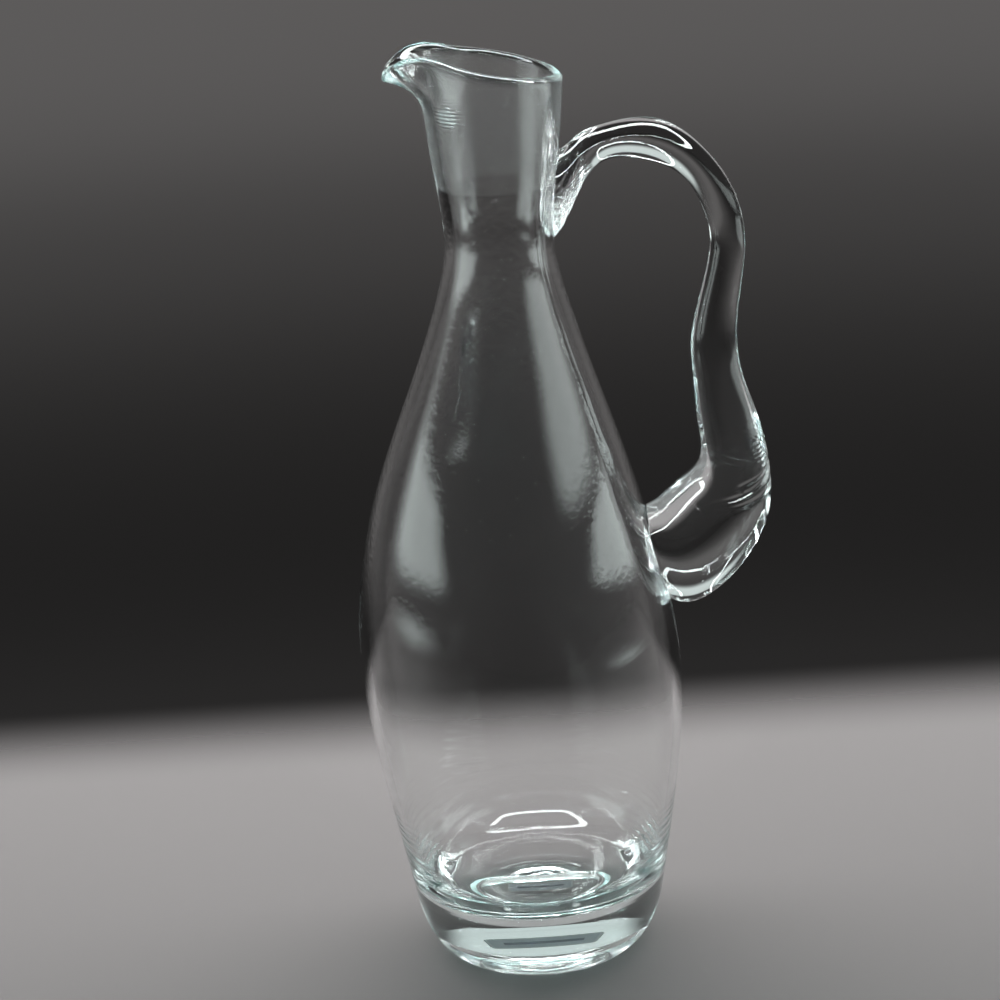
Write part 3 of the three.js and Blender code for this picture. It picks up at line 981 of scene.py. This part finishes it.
# %% Ring of light
LAMP_SIZE, LAMP_PLACE, LAMP_BREADTH = np.array([0.64, 0.44]), (AXIS_X, -0.20, 0.43), 0.05
LAMP_COLOUR, LAMP_GLOW = (0.93, 1, 1), 26
LAMP_STEPS, LAMP_ROUND = 96, 0.55


def light_piece(name, points, faces, colour, strength):
    """A glowing mesh that only glass and gloss can see: no camera, floor or shadow does."""
    mesh = bpy.data.meshes.new(name)
    mesh.from_pydata(points.tolist(), [], faces.tolist())
    material, shader = principled(name + "_glow", {
        "Base Color": (0, 0, 0, 1), "Specular IOR Level": 0,
        "Emission Color": (*colour, 1), "Emission Strength": strength,
    })
    mesh.materials.append(material)
    piece = bpy.data.objects.new(name, mesh)
    scene.collection.objects.link(piece)
    piece.visible_camera = piece.visible_diffuse = piece.visible_shadow = False
    return piece, material, shader


# A circle whose sine and cosine are raised to a power below one swells towards a rectangle
lamp_turn = np.linspace(0, 2 * np.pi, LAMP_STEPS, endpoint=False)
lamp_way = np.stack([np.cos(lamp_turn), np.sin(lamp_turn)], axis=-1)
lamp_oval = np.sign(lamp_way) * np.abs(lamp_way) ** LAMP_ROUND / 2
lamp_edges = np.concatenate([lamp_oval * LAMP_SIZE, lamp_oval * (LAMP_SIZE - 2 * LAMP_BREADTH)])
lamp_points = np.column_stack([lamp_edges, np.zeros(2 * LAMP_STEPS)]) + LAMP_PLACE
light_piece("ring_light", lamp_points, ring_faces(2, LAMP_STEPS), LAMP_COLOUR, LAMP_GLOW)
print("ring of light", LAMP_SIZE, "m")

# %% Cards
CARD_GRID, CARD_COLOUR = 17, (0.9, 1, 0.98)
# Distance from the axis in metres, then degrees round the axis from the camera's side and millimetres up at
# the low left, low right, high right and high left, then the glow and the share over which it fades
CARDS = (
    ("left_wall", 0.55, [(-106, 85), (-40, 140), (-60, 320), (-110, 330)], 2.8, 0.25),
    ("left_line", 0.55, [(-72, 328), (-37, 378), (-33, 414), (-62, 376)], 1.4, 0.5),
    ("left_low", 0.55, [(-104, -15), (-51, 0), (-51, 90), (-104, 85)], 2.0, 0.5),
    ("right_wall", 0.55, [(54, 150), (118, 55), (112, 225), (72, 225)], 2.7, 0.25),
    ("right_strip", 0.55, [(42, 245), (104, 205), (112, 330), (36, 420)], 2.4, 0.3),
    ("right_low", 0.55, [(56, -10), (109, -35), (109, 20), (56, 40)], 1.8, 0.5),
    ("back_low", 1.6, [(125, 300), (235, 300), (235, 1150), (125, 1150)], 0.7, 0.25),
)


def light_card(name, distance, corners, strength, fade):
    """A bent card of light round the decanter, fading to its edges.

    Between its four corners, degrees and height are averaged by the distances to the sides, and each point is
    there by a smooth step of its distance from the edges."""
    u, v = np.meshgrid(np.linspace(0, 1, CARD_GRID), np.linspace(0, 1, CARD_GRID))
    u, v = u.reshape(-1, 1), v.reshape(-1, 1)
    low_left, low_right, high_right, high_left = np.array(corners)
    spot = (low_left * (1 - u) + low_right * u) * (1 - v) + (high_left * (1 - u) + high_right * u) * v
    heading = np.radians(spot[:, 0])
    points = np.stack([
        AXIS_X + distance * np.sin(heading), -distance * np.cos(heading), spot[:, 1] * MM], axis=-1)
    row, column = np.meshgrid(np.arange(CARD_GRID - 1), np.arange(CARD_GRID - 1), indexing="ij")
    faces = (row * CARD_GRID + column).reshape(-1, 1) + np.array([0, 1, CARD_GRID + 1, CARD_GRID])
    edge = np.clip(np.minimum(u, 1 - u) / fade, 0, 1) * np.clip(np.minimum(v, 1 - v) / fade, 0, 1)
    card, material, shader = light_piece(name, points, faces, CARD_COLOUR, strength)
    mark_points(card, "edge", (edge ** 2 * (3 - 2 * edge)).ravel())
    mark = add_node(material, "Attribute", attribute_name="edge")
    wire(material, mark.outputs["Fac"], shader.inputs["Alpha"])


for card in CARDS:
    light_card(*card)
print(len(CARDS), "cards")

# %% [markdown]
# ## Air of the studio
# Past the table there is only dim air. It is darkest towards the ground, brightens to an even grey behind the
# neck, and is dim again overhead, so that the clear rod and the throat, which gather light from far round,
# stay dark. A picture of a studio could stand for it, but a curve of brightness over height says the same.

# %% Air of the studio
# Direction upwards, from straight down at -1 to straight up at 1, and brightness there
AIR_LEVELS = ((-0.37, 0.022), (-0.31, 0.017), (-0.24, 0.052), (-0.17, 0.108),
              (-0.08, 0.085), (0.05, 0.05), (0.3, 0.03), (1.0, 0.03))
AIR_COLOUR = (1, 0.96, 0.95)
FRONT_START, FRONT_END, FRONT_SHARE = -0.2, 0.4, 0.3

world = bpy.data.worlds.new("studio_air")
world.use_nodes = True
background = world.node_tree.nodes["Background"]
background.inputs["Color"].default_value = (*AIR_COLOUR, 1)
_, _, heading_back, heading_up = split_place(world, "Generated")
air = add_node(world, "FloatCurve")
air.mapping.extend = "HORIZONTAL"
curve = air.mapping.curves[0]
# The curve runs from 0 to 1, so the direction upwards is halved and raised by a half
spots = [((height + 1) / 2, level) for height, level in AIR_LEVELS]
curve.points[0].location, curve.points[-1].location = spots[0], spots[-1]
for spot in spots[1:-1]:
    curve.points.new(*spot)
air.mapping.update()
halved = combine(world, "ADD", product(world, heading_up, 0.5), 0.5)
wire(world, halved, air.inputs["Value"])
from_front = risen(world, heading_back, FRONT_START, FRONT_END, FRONT_SHARE)
wire(world, product(world, air.outputs["Value"], from_front), background.inputs["Strength"])
scene.world = world
print("air from", min(level for _, level in AIR_LEVELS), "to", max(level for _, level in AIR_LEVELS))

# %% [markdown]
# ## Ways of light
# In the thick base light turns many times before it leaves, and a short limit on its turns would leave black
# patches there. Bright points seen by a second bounce are held to a high limit, so that thin lines of light
# stay bright.

# %% Ways of light
TURNS, BRIGHTEST = 64, 40

scene.cycles.caustics_refractive = scene.cycles.caustics_reflective = False
scene.cycles.sample_clamp_indirect = BRIGHTEST
scene.cycles.max_bounces = scene.cycles.transmission_bounces = scene.cycles.glossy_bounces = TURNS
print("light turns up to", TURNS, "times")
